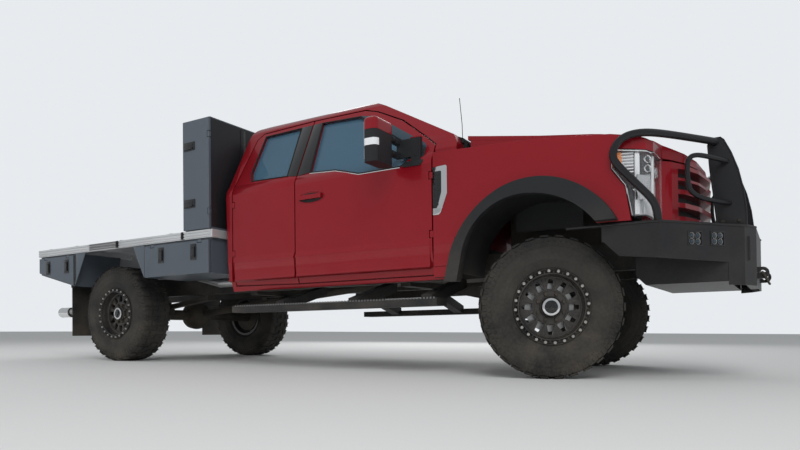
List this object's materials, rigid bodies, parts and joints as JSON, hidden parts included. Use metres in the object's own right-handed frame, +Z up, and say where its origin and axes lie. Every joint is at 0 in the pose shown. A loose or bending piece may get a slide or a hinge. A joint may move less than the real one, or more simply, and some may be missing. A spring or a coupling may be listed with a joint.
{
  "type": "lifted off-road 4x4",
  "caption": "Lifted extended-cab pickup with flat deck, deck cabinet, underbody tool boxes, plate bumper with grille guard, arch flares and large lugged tyres.",
  "frame": {"origin": "on the ground, below the middle of the overall length and width", "axes": "+X forward, +Y to the left of a driver, +Z up"},
  "size_m": [6.6743, 2.66, 2.1339],
  "materials": {
    "box_paint": "satin",
    "black_paint": "satin",
    "lamp_lens": "clear",
    "red_paint": "gloss",
    "dark_plastic": "matte",
    "deck_aluminium": "satin",
    "iron": "rough",
    "steel": "brushed",
    "window_glass": "clear tint",
    "frame_paint": "satin",
    "rubber": "matte",
    "rim_paint": "satin",
    "seat_fabric": "woven",
    "tail_lens": "gloss",
    "tyre": "matte"
  },
  "bodies": {
    "chassis": {"bumper": "black_paint", "bumper_lamps": "lamp_lens", "cab_shell": "red_paint", "cabinet": "box_paint", "cowl": "dark_plastic", "dashboard": "dark_plastic", "deck": "deck_aluminium", "driveshafts": "iron", "exhaust": "steel", "fenders": "red_paint", "fixed_glass": "window_glass", "flares": "dark_plastic", "frame": "frame_paint", "front_axle": "iron", "grille": "red_paint", "grille_guard": "black_paint", "grille_mesh": "dark_plastic", "headlamps": "lamp_lens", "hitch_receiver": "frame_paint", "mud_flaps": "rubber", "powertrain": "iron", "rear_axle": "iron", "seats": "seat_fabric", "side_steps": "dark_plastic", "skid_plate": "black_paint", "steering_wheel": "dark_plastic", "suspension": "frame_paint", "tail_lamps": "tail_lens", "tail_panel": "frame_paint", "tow_points": "black_paint", "underbody_boxes": "box_paint", "wheel_liners": "dark_plastic"},
    "knuckle_left": {"knuckle_left": "iron"},
    "knuckle_right": {"knuckle_right": "iron"},
    "tie_rod": {"tie_rod": "iron"},
    "hood": {"hood": "red_paint"},
    "door_front_left": {"door_front_left": "red_paint", "glass_front_left": "window_glass", "mirror_left": "dark_plastic"},
    "door_rear_left": {"door_rear_left": "red_paint", "glass_rear_left": "window_glass"},
    "cabinet_door_left": {"cabinet_door_left": "box_paint"},
    "box_door_front_left": {"box_door_front_left": "box_paint"},
    "box_door_rear_left": {"box_door_rear_left": "box_paint"},
    "wheel_front_left": {"tyre_front_left": "tyre", "rim_front_left": "rim_paint"},
    "wheel_rear_left": {"tyre_rear_left": "tyre", "rim_rear_left": "rim_paint"},
    "door_front_right": {"door_front_right": "red_paint", "glass_front_right": "window_glass", "mirror_right": "dark_plastic"},
    "door_rear_right": {"door_rear_right": "red_paint", "glass_rear_right": "window_glass"},
    "cabinet_door_right": {"cabinet_door_right": "box_paint"},
    "box_door_front_right": {"box_door_front_right": "box_paint"},
    "box_door_rear_right": {"box_door_rear_right": "box_paint"},
    "wheel_front_right": {"tyre_front_right": "tyre", "rim_front_right": "rim_paint"},
    "wheel_rear_right": {"tyre_rear_right": "tyre", "rim_rear_right": "rim_paint"}
  },
  "joints": [
    {"name": "steer_left", "type": "hinge", "parent": "chassis", "child": "knuckle_left", "pos_m": [2.015, 0.68, 0.46], "axis": [0, 0, 1], "range_deg": [-55, 5]},
    {"name": "spin_front_left", "type": "hinge", "parent": "knuckle_left", "child": "wheel_front_left", "pos_m": [1.9347, 0.8522, 0.46], "axis": [-0.4226, 0.9063, 0], "continuous": true},
    {"name": "spin_rear_left", "type": "hinge", "parent": "chassis", "child": "wheel_rear_left", "pos_m": [-2.18, 0.87, 0.46], "axis": [0, 1, 0], "continuous": true},
    {"name": "steer_right", "type": "hinge", "parent": "chassis", "child": "knuckle_right", "pos_m": [2.015, -0.68, 0.46], "axis": [0, 0, 1], "range_deg": [-55, 5]},
    {"name": "spin_front_right", "type": "hinge", "parent": "knuckle_right", "child": "wheel_front_right", "pos_m": [2.0953, -0.8522, 0.46], "axis": [-0.4226, 0.9063, 0], "continuous": true},
    {"name": "spin_rear_right", "type": "hinge", "parent": "chassis", "child": "wheel_rear_right", "pos_m": [-2.18, -0.87, 0.46], "axis": [0, 1, 0], "continuous": true},
    {"name": "tie_rod_turn", "type": "hinge", "parent": "knuckle_left", "child": "tie_rod", "pos_m": [1.83374, 0.59548, 0.372], "axis": [0, 0, 1], "range_deg": [-5, 55]},
    {"name": "door_front_left_hinge", "type": "hinge", "parent": "chassis", "child": "door_front_left", "pos_m": [1.29134, 0.992, 1.16352], "axis": [0.016, 0, -0.9999], "range_deg": [0, 68]},
    {"name": "door_rear_left_hinge", "type": "hinge", "parent": "chassis", "child": "door_rear_left", "pos_m": [-0.60742, 0.992, 1.1332], "axis": [-0.016, 0, 0.9999], "range_deg": [0, 80]},
    {"name": "cabinet_door_left_hinge", "type": "hinge", "parent": "chassis", "child": "cabinet_door_left", "pos_m": [-0.78739, 1.111, 1.63039], "axis": [0.016, 0, -0.9999], "range_deg": [0, 100]},
    {"name": "box_door_front_left_hinge", "type": "hinge", "parent": "chassis", "child": "box_door_front_left", "pos_m": [-1.22435, 1.103, 1.06134], "axis": [0.9999, 0, 0.016], "range_deg": [0, 85]},
    {"name": "box_door_rear_left_hinge", "type": "hinge", "parent": "chassis", "child": "box_door_rear_left", "pos_m": [-2.99413, 1.103, 1.03307], "axis": [0.9999, 0, 0.016], "range_deg": [0, 85]},
    {"name": "door_front_right_hinge", "type": "hinge", "parent": "chassis", "child": "door_front_right", "pos_m": [1.29134, -0.992, 1.16352], "axis": [-0.016, 0, 0.9999], "range_deg": [0, 68]},
    {"name": "door_rear_right_hinge", "type": "hinge", "parent": "chassis", "child": "door_rear_right", "pos_m": [-0.60742, -0.992, 1.1332], "axis": [0.016, 0, -0.9999], "range_deg": [0, 80]},
    {"name": "cabinet_door_right_hinge", "type": "hinge", "parent": "chassis", "child": "cabinet_door_right", "pos_m": [-0.78739, -1.111, 1.63039], "axis": [-0.016, 0, 0.9999], "range_deg": [0, 100]},
    {"name": "box_door_front_right_hinge", "type": "hinge", "parent": "chassis", "child": "box_door_front_right", "pos_m": [-1.22435, -1.103, 1.06134], "axis": [-0.9999, 0, -0.016], "range_deg": [0, 85]},
    {"name": "box_door_rear_right_hinge", "type": "hinge", "parent": "chassis", "child": "box_door_rear_right", "pos_m": [-2.99413, -1.103, 1.03307], "axis": [-0.9999, 0, -0.016], "range_deg": [0, 85]},
    {"name": "hood_hinge", "type": "hinge", "parent": "chassis", "child": "hood", "pos_m": [1.51442, 0, 1.66115], "axis": [0, -1, 0], "range_deg": [0, 50]}
  ],
  "couplings": [
    {"joint": "steer_right", "follows": "steer_left", "ratio": 1},
    {"joint": "tie_rod_turn", "follows": "steer_left", "ratio": -1}
  ]
}
